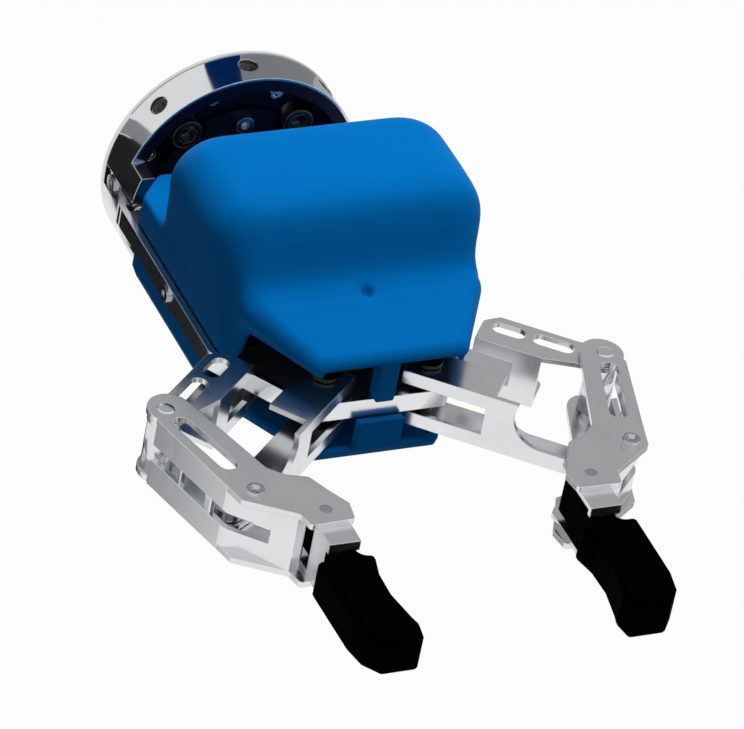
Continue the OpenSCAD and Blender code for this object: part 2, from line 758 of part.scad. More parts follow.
module web_outline() {
    p = edge_path();
    intersection() {
        difference() {
            soft(6) polygon(concat(p, [[10, knee_z + 12.4], [10, pivot_c_z - 13.4]]));
            offset(-bracket_t) soft(6) polygon(concat(p, [[10, knee_z + 12.4], [10, pivot_c_z - 13.4]]));
        }
        polygon([
            [pivot_c_x + 20, web_z0], [pivot_c_x - 2, web_z0], [knee_x - 10, knee_z - 10],
            [knee_x - 18, knee_z + 10.3], [knee_x + 20, knee_z + 10.3]
        ]);
    }
}

module finger_bracket() {
    difference() {
        union() {
            for (q = [0, 1]) mirror([0, q, 0]) slab(bracket_in, bracket_y) bracket_outline();
            slab(-bracket_y, bracket_y) web_outline();
        }
        // slot beside the arm, on the bulge side only
        slab(-bracket_y - 1, -bracket_in + 0.1)
            obround([pivot_c_x - 2.1, pivot_c_z + 7.2], [pivot_c_x - 7.9, pivot_c_z + 26.2], 5.4);
        // long slot down the outside
        slab(-2.6, 2.6) difference() {
            translate([knee_x - 12, pivot_c_z + 4]) square([40, 60]);
            translate([knee_x - 30, knee_z + 5.4]) square([60, 60]);
        }
        bar(pivot_c_x, pivot_c_z, finger_pin_r, -30, 30);
        bar(pivot_d_x, pivot_d_z, finger_pin_r, 0, 30);
        bar(knee_x - 5, knee_z - 0.6, 1.6, -30, 0);
        bar(knee_x - 22, knee_z + 9.5, 1.8, -30, 30);
    }
}

module outer_pin() {
    bar(pivot_c_x, pivot_c_z, finger_pin_r, -bracket_y, bracket_y);
    bar(pivot_c_x, pivot_c_z, 3.9, -bracket_y - 1.1, -bracket_y);
    bar(pivot_c_x, pivot_c_z, 3.9, bracket_y, bracket_y + 1.1);
    bar(pivot_c_x, pivot_c_z, 4.6, -leg_in + side_gap, bracket_in);
}

module inner_stud() {
    bar(pivot_d_x, pivot_d_z, finger_pin_r, 4, bracket_y);
    bar(pivot_d_x, pivot_d_z, 4.4, 4, leg_in - side_gap);
    bar(pivot_d_x, pivot_d_z, 3.9, bracket_y, bracket_y + 1.1);
}

module finger_screw() {
    difference() {
        union() {
            bar(knee_x - 5, knee_z - 0.6, 1.6, -bracket_y, -bracket_in);
            bar(knee_x - 5, knee_z - 0.6, 2.3, -bracket_y - 0.9, -bracket_y);
        }
        translate([knee_x - 5, -bracket_y - 0.3, knee_z - 0.6]) rotate([90, 0, 0]) cylinder(r = 1.1, h = 3, $fn = 6);
    }
}

holder_x0 = knee_x - 27.4;
holder_x1 = knee_x - 18;

// folded clip that carries the rubber tip
module tip_holder() {
    difference() {
        union() {
            for (q = [0, 1]) mirror([0, q, 0]) slab(bracket_in - 1.5, bracket_in) polygon([
                [holder_x0 + 1.5, knee_z + 1], [holder_x1 - 1, knee_z + 1],
                [holder_x1, knee_z + 3], [holder_x1, shoulder_z - 2],
                [holder_x0, shoulder_z - 2], [holder_x0, knee_z + 3]
            ]);
            slab(-bracket_in, bracket_in) translate([holder_x1 - 1.5, knee_z + 12.6]) square([1.5, shoulder_z - knee_z - 16.1]);
            for (q = [0, 1]) mirror([0, q, 0]) slab(tip_y, bracket_in)
                translate([holder_x0, shoulder_z - 3.5]) square([holder_x1 - holder_x0, 1.5]);
        }
        bar(knee_x - 22, knee_z + 9.5, 1.8, -30, 30);
    }
}

module tip_pin() {
    bar(knee_x - 22, knee_z + 9.5, 1.8, -bracket_y, bracket_y);
}

module tip_profile() {
    x0 = holder_x0 - 3.9;
    x1 = holder_x1 + 4.1;
    soft(1.5, 3) union() {
        translate([holder_x0 + 0.5, knee_z + 4]) square([holder_x1 - holder_x0 - 2, 30]);
        polygon([
            [x0, shoulder_z], [x0 + tip_hollow + 0.4, shoulder_z + 8], [x0 + tip_hollow + 0.6, shoulder_z + 17],
            [x0 + 0.4, shoulder_z + 27], [x0 - 0.4, tip_z - 6], [x0 + 0.6, tip_z],
            [x1 - 5.8, tip_z], [x1 - 1.8, tip_z - 5], [x1 - 0.4, tip_z - 12], [x1, shoulder_z]
        ]);
    }
}

module fingertip() {
    difference() {
        union() {
            slab(-tip_y + 1, tip_y - 1) tip_profile();
            slab(-tip_y + 0.4, tip_y - 0.4) offset(-0.35) tip_profile();
            slab(-tip_y, tip_y) offset(-1) tip_profile();
        }
        bar(knee_x - 22, knee_z + 9.5, 1.8, -30, 30);
    }
}

module left_outer_link() { color(colour_steel) outer_link(); }
module left_inner_link() { color(colour_steel) inner_link(); }
module left_finger_bracket() { color(colour_steel) finger_bracket(); }
module left_outer_pin() { color(colour_steel) outer_pin(); }
module left_inner_stud() { color(colour_steel) inner_stud(); }
module left_finger_screw() { color(colour_dark) finger_screw(); }
module left_tip_holder() { color(colour_steel) tip_holder(); }
module left_tip_pin() { color(colour_steel) tip_pin(); }
module left_fingertip() { color(colour_rubber) fingertip(); }

module right_outer_link() { mirror([1, 0, 0]) left_outer_link(); }
module right_inner_link() { mirror([1, 0, 0]) left_inner_link(); }
module right_finger_bracket() { mirror([1, 0, 0]) left_finger_bracket(); }
module right_outer_pin() { mirror([1, 0, 0]) left_outer_pin(); }
module right_inner_stud() { mirror([1, 0, 0]) left_inner_stud(); }
module right_finger_screw() { mirror([1, 0, 0]) left_finger_screw(); }
module right_tip_holder() { mirror([1, 0, 0]) left_tip_holder(); }
module right_tip_pin() { mirror([1, 0, 0]) left_tip_pin(); }
module right_fingertip() { mirror([1, 0, 0]) left_fingertip(); }

coupling_ring();
adapter_disc();
ring_screws();
clamp_plate();
clamp_screws();
frame_band();
chassis_plate();
band_screws();
front_cover();
rear_cover();
front_cover_screws();
rear_cover_screws();
outer_base_pins();
inner_base_pins();
motor_mount();
gearbox();
motor_can();
motor_cap();
pinion_bush();
drive_pinion();
control_board();
board_parts();
board_spacers();
signal_socket();
left_outer_link();
left_sector_gear();
left_inner_link();
left_finger_bracket();
left_outer_pin();
left_inner_stud();
left_finger_screw();
left_tip_holder();
left_tip_pin();
left_fingertip();
right_outer_link();
right_sector_gear();
right_inner_link();
right_finger_bracket();
right_outer_pin();
right_inner_stud();
right_finger_screw();
right_tip_holder();
right_tip_pin();
right_fingertip();
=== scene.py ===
import json

import bpy
import numpy as np
from mathutils import Matrix, Vector


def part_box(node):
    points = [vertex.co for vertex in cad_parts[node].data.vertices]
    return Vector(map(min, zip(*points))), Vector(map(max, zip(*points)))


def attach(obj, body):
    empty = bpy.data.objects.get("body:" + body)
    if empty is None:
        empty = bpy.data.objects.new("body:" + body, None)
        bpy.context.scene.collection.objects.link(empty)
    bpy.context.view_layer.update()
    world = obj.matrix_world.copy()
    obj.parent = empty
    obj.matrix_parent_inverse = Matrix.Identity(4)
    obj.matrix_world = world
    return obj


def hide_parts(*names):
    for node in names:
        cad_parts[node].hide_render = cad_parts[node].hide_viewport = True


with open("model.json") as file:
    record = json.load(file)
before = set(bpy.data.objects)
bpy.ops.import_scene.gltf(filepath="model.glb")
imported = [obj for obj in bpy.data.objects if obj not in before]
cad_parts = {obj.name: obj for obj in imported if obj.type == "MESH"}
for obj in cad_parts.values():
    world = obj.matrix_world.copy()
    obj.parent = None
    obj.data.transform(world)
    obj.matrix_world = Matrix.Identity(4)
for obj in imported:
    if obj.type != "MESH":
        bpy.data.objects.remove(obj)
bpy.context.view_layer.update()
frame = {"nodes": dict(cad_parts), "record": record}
bpy.context.scene.view_settings.view_transform = "Standard"
mm = 0.001
sides = {"left": 1, "right": -1}  # the left half lies towards +X

# camera: a long lens that looks down on the front cover

view = {
    "target": (0.0, -0.008, 0.112),
    "eye": (0.7448, -1.1029, 1.4001),
    "up": (-0.0946, -0.8186, -0.5665),
    "lens": 318.0,
    "sensor": 36.0,
    "clipEnd": 20.0,
}
gripperCentre = Vector(view["target"])


def aim(obj, target, up):
    # right, up and back axes of an object that looks along its own -Z
    back = (obj.location - target).normalized()
    right = up.cross(back).normalized()
    turn = Matrix((right, back.cross(right), back)).transposed()
    obj.rotation_euler = turn.to_euler()


cameraData = bpy.data.cameras.new("camera")
cameraData.lens = view["lens"]
cameraData.sensor_width = view["sensor"]
cameraData.clip_end = view["clipEnd"]
camera = bpy.data.objects.new("camera", cameraData)
camera.location = view["eye"]
aim(camera, gripperCentre, Vector(view["up"]))
bpy.context.scene.collection.objects.link(camera)
bpy.context.scene.camera = camera
print("camera placed")

# materials: each finish has its own grain, a broad mottle and softly worn edges

grainDetail = 3
edgeSamples = 6
plainFinish = {"stretch": (1, 1, 1), "bumpDepth": 0.00005, "edge": 0, "mottleGrain": 40}


def noiseNode(tree, coords, scale, stretch=(1, 1, 1)):
    # noise on object coordinates that are first multiplied by the stretch
    mapping = tree.nodes.new("ShaderNodeMapping")
    mapping.inputs["Scale"].default_value = stretch
    noise = tree.nodes.new("ShaderNodeTexNoise")
    noise.inputs["Scale"].default_value = scale
    noise.inputs["Detail"].default_value = grainDetail
    tree.links.new(coords.outputs["Object"], mapping.inputs["Vector"])
    tree.links.new(mapping.outputs["Vector"], noise.inputs["Vector"])
    return noise


def newMaterial(name, look):
    # a look holds the shader's own numbers, the size of its grain and a colour to mottle with
    look = plainFinish | look
    material = bpy.data.materials.new(name)
    material.use_nodes = True
    tree = material.node_tree
    shader = tree.nodes["Principled BSDF"]
    for key, value in look["shader"].items():
        shader.inputs[key].default_value = value
    coords = tree.nodes.new("ShaderNodeTexCoord")
    grain = noiseNode(tree, coords, look["grain"], look["stretch"])
    roughness = tree.nodes.new("ShaderNodeMapRange")
    middle, spread = look["shader"]["Roughness"], look["roughSpread"]
    roughness.inputs["To Min"].default_value = middle - spread
    roughness.inputs["To Max"].default_value = middle + spread
    tree.links.new(grain.outputs["Fac"], roughness.inputs["Value"])
    tree.links.new(roughness.outputs["Result"], shader.inputs["Roughness"])
    bump = tree.nodes.new("ShaderNodeBump")
    bump.inputs["Strength"].default_value = look["bump"]
    bump.inputs["Distance"].default_value = look["bumpDepth"]
    tree.links.new(grain.outputs["Fac"], bump.inputs["Height"])
    if look["edge"]:
        # the bevel rounds each sheared edge a little, so it catches the light
        bevel = tree.nodes.new("ShaderNodeBevel")
        bevel.samples = edgeSamples
        bevel.inputs["Radius"].default_value = look["edge"]
        tree.links.new(bevel.outputs["Normal"], bump.inputs["Normal"])
    tree.links.new(bump.outputs["Normal"], shader.inputs["Normal"])
    mix = tree.nodes.new("ShaderNodeMix")
    mix.data_type = "RGBA"
    mix.inputs["A"].default_value = look["shader"]["Base Color"]
    mix.inputs["B"].default_value = look["mottle"]
    broad = noiseNode(tree, coords, look["mottleGrain"])
    tree.links.new(broad.outputs["Fac"], mix.inputs["Factor"])
    tree.links.new(mix.outputs["Result"], shader.inputs["Base Color"])
    return material


looks = {
    "ring_steel": {
        "shader": {"Base Color": (0.70, 0.71, 0.72, 1), "Metallic": 1.0, "Roughness": 0.16},
        "grain": 900, "stretch": (0.2, 0.2, 1.5), "roughSpread": 0.04, "bump": 0.05,
        "edge": 0.0004, "mottle": (0.62, 0.63, 0.65, 1), "mottleGrain": 60,
    },
    "disc": {
        "shader": {
            "Base Color": (0.001, 0.004, 0.02, 1), "Roughness": 0.5, "Specular IOR Level": 0.15,
        },
        "grain": 700, "roughSpread": 0.06, "bump": 0.08,
        "edge": 0.0003, "mottle": (0.001, 0.003, 0.014, 1),
    },
    "screw_steel": {
        "shader": {"Base Color": (0.5, 0.51, 0.53, 1), "Metallic": 1.0, "Roughness": 0.22},
        "grain": 1500, "roughSpread": 0.06, "bump": 0.05,
        "edge": 0.0002, "mottle": (0.42, 0.43, 0.45, 1), "mottleGrain": 300,
    },
    "band_steel": {
        "shader": {"Base Color": (0.78, 0.79, 0.80, 1), "Metallic": 1.0, "Roughness": 0.2},
        "grain": 1200, "stretch": (1, 0.15, 1), "roughSpread": 0.05, "bump": 0.06,
        "edge": 0.0003, "mottle": (0.70, 0.71, 0.73, 1), "mottleGrain": 70,
    },
    "plate_alloy": {
        "shader": {"Base Color": (0.22, 0.23, 0.25, 1), "Metallic": 1.0, "Roughness": 0.4},
        "grain": 1000, "roughSpread": 0.07, "bump": 0.08,
        "edge": 0.0003, "mottle": (0.18, 0.19, 0.21, 1), "mottleGrain": 80,
    },
    "cover_blue": {
        "shader": {
            "Base Color": (0.0, 0.13, 0.415, 1), "Roughness": 0.55,
            "Specular IOR Level": 0.15, "IOR": 1.2,
        },
        "grain": 2600, "roughSpread": 0.05, "bump": 0.10, "bumpDepth": 0.00004,
        "edge": 0.0009, "mottle": (0.0, 0.136, 0.43, 1),
    },
    "link_steel": {
        "shader": {"Base Color": (0.78, 0.79, 0.80, 1), "Metallic": 1.0, "Roughness": 0.22},
        "grain": 1300, "stretch": (1, 0.2, 0.5), "roughSpread": 0.05, "bump": 0.02,
        "edge": 0.0003, "mottle": (0.66, 0.67, 0.69, 1), "mottleGrain": 70,
    },
    "gear_brass": {
        "shader": {"Base Color": (0.55, 0.4, 0.16, 1), "Metallic": 1.0, "Roughness": 0.33},
        "grain": 1200, "roughSpread": 0.06, "bump": 0.06,
        "edge": 0.0002, "mottle": (0.48, 0.34, 0.13, 1), "mottleGrain": 120,
    },
    "motor_steel": {
        "shader": {"Base Color": (0.5, 0.51, 0.53, 1), "Metallic": 1.0, "Roughness": 0.3},
        "grain": 1200, "roughSpread": 0.06, "bump": 0.05, "mottle": (0.44, 0.45, 0.47, 1),
    },
    "motor_black": {
        "shader": {"Base Color": (0.008, 0.008, 0.009, 1), "Roughness": 0.3},
        "grain": 900, "roughSpread": 0.05, "bump": 0.08, "mottle": (0.011, 0.011, 0.012, 1),
    },
    "board_green": {
        "shader": {"Base Color": (0.01, 0.09, 0.04, 1), "Roughness": 0.4},
        "grain": 1400, "roughSpread": 0.06, "bump": 0.08, "mottle": (0.012, 0.1, 0.045, 1),
    },
    "tip_rubber": {
        "shader": {
            "Base Color": (0.0002, 0.0002, 0.0002, 1), "Roughness": 0.8,
            "Specular IOR Level": 0.03, "IOR": 1.2,
        },
        "grain": 2200, "roughSpread": 0.08, "bump": 0.25, "bumpDepth": 0.00006,
        "edge": 0.0006, "mottle": (0.0004, 0.0004, 0.0004, 1),
    },
    # near black metal for the inner base pins, which paints the shade they lie in under the cover's
    # nose
    "pin_painted_shade": {
        "shader": {"Base Color": (0.03, 0.03, 0.034, 1), "Metallic": 1.0, "Roughness": 0.35},
        "grain": 1500, "roughSpread": 0.06, "bump": 0.04,
        "edge": 0.0002, "mottle": (0.02, 0.02, 0.023, 1), "mottleGrain": 300,
    },
}
# the inner base pins take the near black finish as painted shade, for the shadow under the cover's
# nose
paintedShadeNodes = ["inner_base_pins"]

materials = {name: newMaterial(name, look) for name, look in looks.items()}
slotOf = {piece["node"]: piece["material_slot"] for piece in frame["record"]["subparts"]}
for nodeName, obj in frame["nodes"].items():
    finish = "pin_painted_shade" if nodeName in paintedShadeNodes else slotOf[nodeName]
    obj.data.materials.clear()
    obj.data.materials.append(materials[finish])
print("materials made")

# meshes worked out on grids


def newPiece(name, points, faces, slot, body, smooth=True, caps=()):
    # an object from points, quads and end caps, which takes a slot's finish and rides on a body
    mesh = bpy.data.meshes.new(name)
    mesh.from_pydata(points.tolist(), [], faces.tolist() + [list(cap) for cap in caps])
    mesh.polygons.foreach_set("use_smooth", np.full(len(mesh.polygons), smooth))
    mesh.materials.append(materials[slot])
    mesh.update()
    piece = bpy.data.objects.new(name, mesh)
    bpy.context.scene.collection.objects.link(piece)
    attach(piece, body)
    return piece


def gridFaces(rows, cols, wrap=False, start=0, flip=False):
    # quads between neighbouring points of a grid stored row by row
    r = np.arange(rows - 1)[:, None]
    c = np.arange(cols if wrap else cols - 1)[None, :]
    n = (c + 1) % cols
    quads = np.stack([r * cols + c, r * cols + n, (r + 1) * cols + n, (r + 1) * cols + c], -1)
    quads = quads.reshape(-1, 4)
    return (quads[:, ::-1] if flip else quads) + start


def endCaps(rows, cols, flip=False):
    # one face across the first row of a wrapped grid and one across its last
    first, last = range(cols), range((rows - 1) * cols, rows * cols)
    return [first, last[::-1]] if flip else [first[::-1], last]


def basisAlong(axis):
    # three unit directions: the last along the axis, the others square to it
    aside = [0.31, 0.93, 0.17]  # any direction that no axis here has
    w = np.array(axis, float) / np.linalg.norm(axis)
    u = np.cross(w, aside)
    u /= np.linalg.norm(u)
    return np.array([u, np.cross(w, u), w])


def onCircle(radius, degrees, z):
    # x is the radius times the cosine, y is the radius times the sine
    return np.array([radius * np.cos(np.radians(degrees)), radius * np.sin(np.radians(degrees)), z])


def turned(name, profile, base, axis, slot, body, turns=48):
    # each profile ring has a radius, a height and a share of hexagon: the radius at an angle
    # runs from a circle, at share 0, to six flats, at share 1
    profile = np.array(profile, float)
    angle = np.linspace(0, 2 * np.pi, turns, endpoint=False)
    sixth = np.pi / 3
    flats = np.cos(sixth / 2) / np.cos((angle + sixth / 2) % sixth - sixth / 2)
    radius = profile[:, :1] * (1 - profile[:, 2:] + profile[:, 2:] * flats / flats.mean())
    height = np.repeat(profile[:, 1:2], turns, 1)
    local = np.stack([radius * np.cos(angle), radius * np.sin(angle), height], 2)
    points = local.reshape(-1, 3) @ basisAlong(axis) + np.array(base)
    faces = gridFaces(len(profile), turns, wrap=True)
    return newPiece(name, points, faces, slot, body, caps=endCaps(len(profile), turns))


blockGrid = {"rows": 40, "cols": 72, "pole": 0.02}  # pole: the angle left for each end cap


def roundedBlock(name, block, slot, body, turn=0.0):
    # a sphere pushed out towards a box: each sine and cosine is raised to a power below one,
    # scaled to the block's half sizes, then turned about Y
    pole = blockGrid["pole"]
    theta = np.linspace(pole, np.pi - pole, blockGrid["rows"])[:, None]
    phi = np.linspace(0, 2 * np.pi, blockGrid["cols"], endpoint=False)[None, :]

    def pushed(v):
        # the value's size to the block's power, with its sign kept
        return np.sign(v) * np.abs(v) ** block["power"]

    ball = np.stack([
        pushed(np.sin(theta)) * pushed(np.cos(phi)),
        pushed(np.sin(theta)) * pushed(np.sin(phi)),
        pushed(np.cos(theta)) * np.ones_like(phi),
    ], 2) * np.array(block["half"])
    c, s = np.cos(turn), np.sin(turn)
    points = ball @ np.array([[c, 0, -s], [0, 1, 0], [s, 0, c]]) + np.array(block["centre"])
    rows, cols = points.shape[:2]
    return newPiece(
        name, points.reshape(-1, 3), gridFaces(rows, cols, wrap=True, flip=True), slot, body,
        caps=endCaps(rows, cols, flip=True),
    )


# shares of the head, the lip, the socket and the shank that shape every cap screw
screwShape = {
    "lip": 0.12, "lipMiddle": 0.3, "tip": 0.8, "tipLength": 0.2,
    "mouth": 1.08, "mouthHex": 0.3, "mouthDrop": 0.4, "socketFloor": 0.45,
    "drill": 0.3, "drillFloor": 0.36,
}


def capScrewProfile(screw):
    # shank, underside, straight head with a rounded lip, and a six sided socket, drilled below;
    # the ring under the head comes twice, which parts the shading of underside and side
    head, height = screw["head"], screw["height"]
    socket, shank, length = screw["socket"], screw["shank"], screw["length"]
    s = screwShape
    lip = min(head, height) * s["lip"]
    lipMiddle = lip * s["lipMiddle"]
    return [
        (shank * s["tip"], -length, 0), (shank, -length + shank * s["tipLength"], 0),
        (shank, 0, 0), (head, 0, 0), (head, 0, 0), (head, height - lip, 0),
        (head - lipMiddle, height - lipMiddle, 0), (head - lip, height, 0),
        (socket * s["mouth"], height, s["mouthHex"]), (socket, height - lip * s["mouthDrop"], 1),
        (socket, height * s["socketFloor"], 1), (socket * s["drill"], height * s["drillFloor"], 0),
    ]


# front cover, in millimetres: "out" is the distance from the X-Z plane towards the front

frontCover = {
    "z": (21.7, 123.6),
    "noseR": 3.0,  # rounding of the upper end
    # half width of the skirt: full up to taperZ, then narrowing to noseX at taperTop
    "skirtX": 38.5, "noseX": 22.0, "taperZ": 91.6, "taperTop": 124.0,
    "footX": 31.33, "footZ": 22.3, "footSlope": 6.5 / 7,  # cut corners at the lower end
    "tuckZ": 100.0, "tuck": 0.15,  # from here up the skirt stays this far inside the hood
    # how far out the side walls start, below and above linkZ, and where the skirt ends
    "rimOut": 3.1, "noseOut": 15.2, "linkZ": 98.6, "skirtOut": 12.5, "flank": 1.0,
    "cornerBase": 16.4, "leastR": 1.0,  # corner radius: what is left above the base, or the least
    # height, depth, half width and corner radius of the form lines
    "lines": [
        (23, 13, 22, 3), (30, 22, 26, 9), (36, 30, 28.5, 12), (42, 37.8, 34, 14),
        (48, 45.6, 40.5, 13), (54, 47, 42.2, 12), (70, 47.2, 42.6, 13), (78, 47, 42.5, 13),
        (83, 46.4, 41.8, 12), (87, 44.2, 40.0, 11), (90.5, 38.8, 37.8, 9), (93.5, 32.4, 37.0, 7),
        (96, 28.2, 37.3, 6), (101, 25.8, 36.9, 5.5), (121, 20.4, 24.8, 4), (128, 19, 23.4, 4),
    ],
    # the lines are averaged over a reach that is wide on the bulge and short at the waist
    "reachZ": [60, 84, 93, 130], "reach": [3.6, 3.6, 1.5, 2.0], "samples": 9, "midWeight": 1.2,
    "dimples": [
        {"x": 0.0, "z": 101.0, "r": 1.7, "deep": 2.2, "screwOut": 21.8},
        {"x": 30.8, "z": 35.2, "r": 1.4, "deep": 1.2, "screwOut": 10.6},
        {"x": -30.8, "z": 35.2, "r": 1.4, "deep": 1.2, "screwOut": 10.6},
    ],
    "dimplesFrom": 11.0,  # only faces further out than this are dimpled
    "wall": 2.4, "rimBand": 4.0,  # in the rim band both skins end level
    "rows": 230, "cols": 181, "wallCols": 12, "noseRows": 14, "cornerKeys": 13, "soften": 2.0,
}


def blended(z, column):
    # weighted average of a form line between one reach below height z and one reach above
    lines = np.array(frontCover["lines"], float)
    reach = np.interp(z, frontCover["reachZ"], frontCover["reach"])
    offsets = np.linspace(-1, 1, frontCover["samples"])
    weights = frontCover["midWeight"] - np.abs(offsets)
    values = [
        weight * np.interp(z + offset * reach, lines[:, 0], lines[:, column])
        for offset, weight in zip(offsets, weights)
    ]
    return sum(values) / weights.sum()


def softened(values, sigma, axis):
    # bell shaped average along one direction of the grid, which is mirrored past its ends
    reach = int(3 * sigma) + 1
    kernel = np.exp(-0.5 * (np.arange(-reach, reach + 1) / sigma) ** 2)
    kernel /= kernel.sum()
    pad = [(0, 0)] * values.ndim
    pad[axis] = (reach, reach)
    wide = np.pad(values, pad, mode="reflect", reflect_type="odd")
    return np.apply_along_axis(lambda line: np.convolve(line, kernel, "valid"), axis, wide)


def evenAlong(keys, count):
    # each row of key points read at even steps of its own length
    leastStep = 1e-6  # keeps the length rising where two keys meet
    steps = np.linalg.norm(np.diff(keys, axis=1), axis=2)
    run = np.concatenate([np.zeros((len(keys), 1)), np.cumsum(steps, 1)], 1)
    run += np.arange(run.shape[1]) * leastStep
    at = np.linspace(0, 1, count)
    return np.stack([
        np.stack([np.interp(at * r[-1], r, k[:, 0]), np.interp(at * r[-1], r, k[:, 1])], 1)
        for r, k in zip(run, keys)
    ])


def coverSkin():
    # the section at each height runs up the skirt's wall, along the ledge, up the hood's side,
    # round the corner and over the top; a quarter circle rounds the rows of the upper end
    s = frontCover
    bend = s["z"][1] - s["noseR"]
    quarter = np.linspace(0, np.pi / 2, s["noseRows"])
    zs = np.concatenate([
        np.linspace(s["z"][0], bend, s["rows"] - s["noseRows"], endpoint=False),
        bend + s["noseR"] * np.sin(quarter),
    ])
    drop = s["noseR"] - np.sqrt(np.maximum(s["noseR"] ** 2 - np.maximum(0, zs - bend) ** 2, 0))
    depth = blended(zs, 1) - drop
    half = blended(zs, 2) - drop
    radius = np.minimum(blended(zs, 3), np.maximum(s["leastR"], depth - s["cornerBase"]))

    taper = (s["skirtX"] - s["noseX"]) / (s["taperTop"] - s["taperZ"])
    skirtX = s["skirtX"] - np.maximum(0, zs - s["taperZ"]) * taper
    skirtX = np.minimum(skirtX, s["footX"] + (zs - s["footZ"]) * s["footSlope"])
    skirtX = np.where(zs > s["tuckZ"], np.minimum(skirtX, half - s["tuck"]), skirtX)
    low = np.where(zs < s["linkZ"], s["rimOut"], s["noseOut"])
    ledge = np.maximum(s["skirtOut"], low + s["flank"])

    turns = np.radians(np.linspace(0, 90, s["cornerKeys"]))
    cornersX = [half - radius + radius * np.cos(turn) for turn in turns]
    cornersOut = [depth - radius + radius * np.sin(turn) for turn in turns]
    keysX = np.stack([skirtX, np.minimum(half, skirtX), *cornersX, np.zeros_like(zs)], 1)
    keysOut = np.stack([ledge, ledge, *cornersOut, depth], 1)
    form = evenAlong(np.stack([keysX, keysOut], 2), s["cols"] // 2 + 1 - s["wallCols"])

    share = np.linspace(0, 1, s["wallCols"], endpoint=False)[None, :]
    wallOut = low[:, None] + (ledge - low)[:, None] * share
    wall = np.stack([skirtX[:, None] + 0 * share, wallOut], 2)
    leftHalf = np.concatenate([wall, form], 1)
    rightHalf = leftHalf[:, -2::-1] * np.array([-1.0, 1.0])
    both = np.concatenate([leftHalf, rightHalf], 1)
    both = softened(softened(both, s["soften"], 1), s["soften"], 0)
    x, out = both[..., 0], both[..., 1]
    z = np.repeat(zs[:, None], both.shape[1], 1)

    # each dimple is its depth times e to minus the fourth power of distance over radius
    for dimple in s["dimples"]:
        away = np.hypot(x - dimple["x"], z - dimple["z"]) / dimple["r"]
        out = out - np.where(out > s["dimplesFrom"], dimple["deep"] * np.exp(-(away**4)), 0)
    return np.stack([x, -out, z], 2) * mm


def gridNormals(skin):
    # cross product of the grid's two directions, made one long
    normal = np.cross(np.gradient(skin, axis=0), np.gradient(skin, axis=1))
    return normal / np.linalg.norm(normal, axis=2, keepdims=True)


def shell(skin, inner):
    # outer and inner skins joined round their shared border, all faces pointing outwards
    rows, cols = skin.shape[:2]
    count = rows * cols
    index = np.arange(count).reshape(rows, cols)
    border = np.concatenate([index[0, :-1], index[:-1, -1], index[-1, :0:-1], index[:0:-1, 0]])
    following = np.roll(border, -1)
    rim = np.stack([following, following + count, border + count, border], 1)
    innerFaces = gridFaces(rows, cols, start=count)
    faces = np.concatenate([gridFaces(rows, cols, flip=True), innerFaces, rim])
    return np.concatenate([skin.reshape(-1, 3), inner.reshape(-1, 3)]), faces


skin = coverSkin()
inside = skin - gridNormals(skin) * frontCover["wall"] * mm
inRimBand = skin[..., 1] > -frontCover["rimBand"] * mm
inside[..., 1] = np.where(inRimBand, skin[..., 1], inside[..., 1])
coverPiece = newPiece("front_cover_shell", *shell(skin, inside), "cover_blue", "housing")
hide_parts("front_cover")

# the post between the two link openings
post = {"centre": (0.0, -0.0104, 0.1206), "half": (0.0029, 0.0073, 0.0026), "power": 0.14}
roundedBlock("front_cover_post", post, "cover_blue", "housing")
print("front cover lofted")

# screws of the front cover, sunk in their dimples
coverScrew = {"head": 0.0014, "height": 0.0012, "socket": 0.0008, "shank": 0.0009, "length": 0.004}
for i, dimple in enumerate(frontCover["dimples"]):
    spot = (dimple["x"] * mm, -dimple["screwOut"] * mm, dimple["z"] * mm)
    piece = turned(
        f"front_cover_screw_{i}", capScrewProfile(coverScrew), spot, (0, -1, 0),
        "motor_black", "housing",
    )
    if i == 0:
        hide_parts("front_cover_screws")

# cap screws on the adapter disc
discFasteners = {
    # the wrist bolts are steel: their black finish paints the dark reflections their heads show
    "wrist_bolt": {
        "circle": 0.025, "z": 0.006, "angles": (45, 135, 225, 315), "slot": "motor_black",
        "head": 0.0048, "height": 0.0054, "socket": 0.0026, "shank": 0.0029, "length": 0.005,
    },
    "disc_screw": {
        "circle": 0.0295, "z": 0.007, "angles": (20, 70, 110, 160, 200, 250, 290, 340),
        "slot": "screw_steel",
        "head": 0.0021, "height": 0.002, "socket": 0.0011, "shank": 0.0012, "length": 0.004,
    },
}
for name, screw in discFasteners.items():
    for i, degrees in enumerate(screw["angles"]):
        spot = onCircle(screw["circle"], degrees, screw["z"])
        turned(f"{name}_{i}", capScrewProfile(screw), spot, (0, 0, 1), screw["slot"], "housing")

# a thin dark sheet in the disc's finish over the ring's inner wall and top, which makes them dark:
# an angle section carried along
#  two arcs, which leave a gap of this many degrees on each side
darkLiner = {
    "bore": 0.03346, "thick": 0.0004, "bottom": 0.0071, "top": 0.01402, "reach": 0.0367,
    "lip": 0.00015, "gap": 21.5, "steps": 120, "arcs": {"front": 180, "rear": 0},
}
outerR, innerR = darkLiner["bore"], darkLiner["bore"] - darkLiner["thick"]
lipTop = darkLiner["top"] + darkLiner["lip"]
section = np.array([
    (outerR, darkLiner["bottom"]), (outerR, darkLiner["top"]), (darkLiner["reach"], darkLiner["top"]),
    (darkLiner["reach"], lipTop), (innerR, lipTop), (innerR, darkLiner["bottom"]),
])
for place, start in darkLiner["arcs"].items():
    ends = start + darkLiner["gap"], start + 180 - darkLiner["gap"]
    around = np.radians(np.linspace(*ends, darkLiner["steps"]))[:, None]
    r, z = section.T
    lipGrid = np.stack([r * np.cos(around), r * np.sin(around), z + 0 * around], 2)
    rows, cols = lipGrid.shape[:2]
    newPiece(
        f"dark_liner_{place}", lipGrid.reshape(-1, 3), gridFaces(rows, cols, wrap=True, flip=True),
        "disc", "housing", smooth=False, caps=endCaps(rows, cols, flip=True),
    )

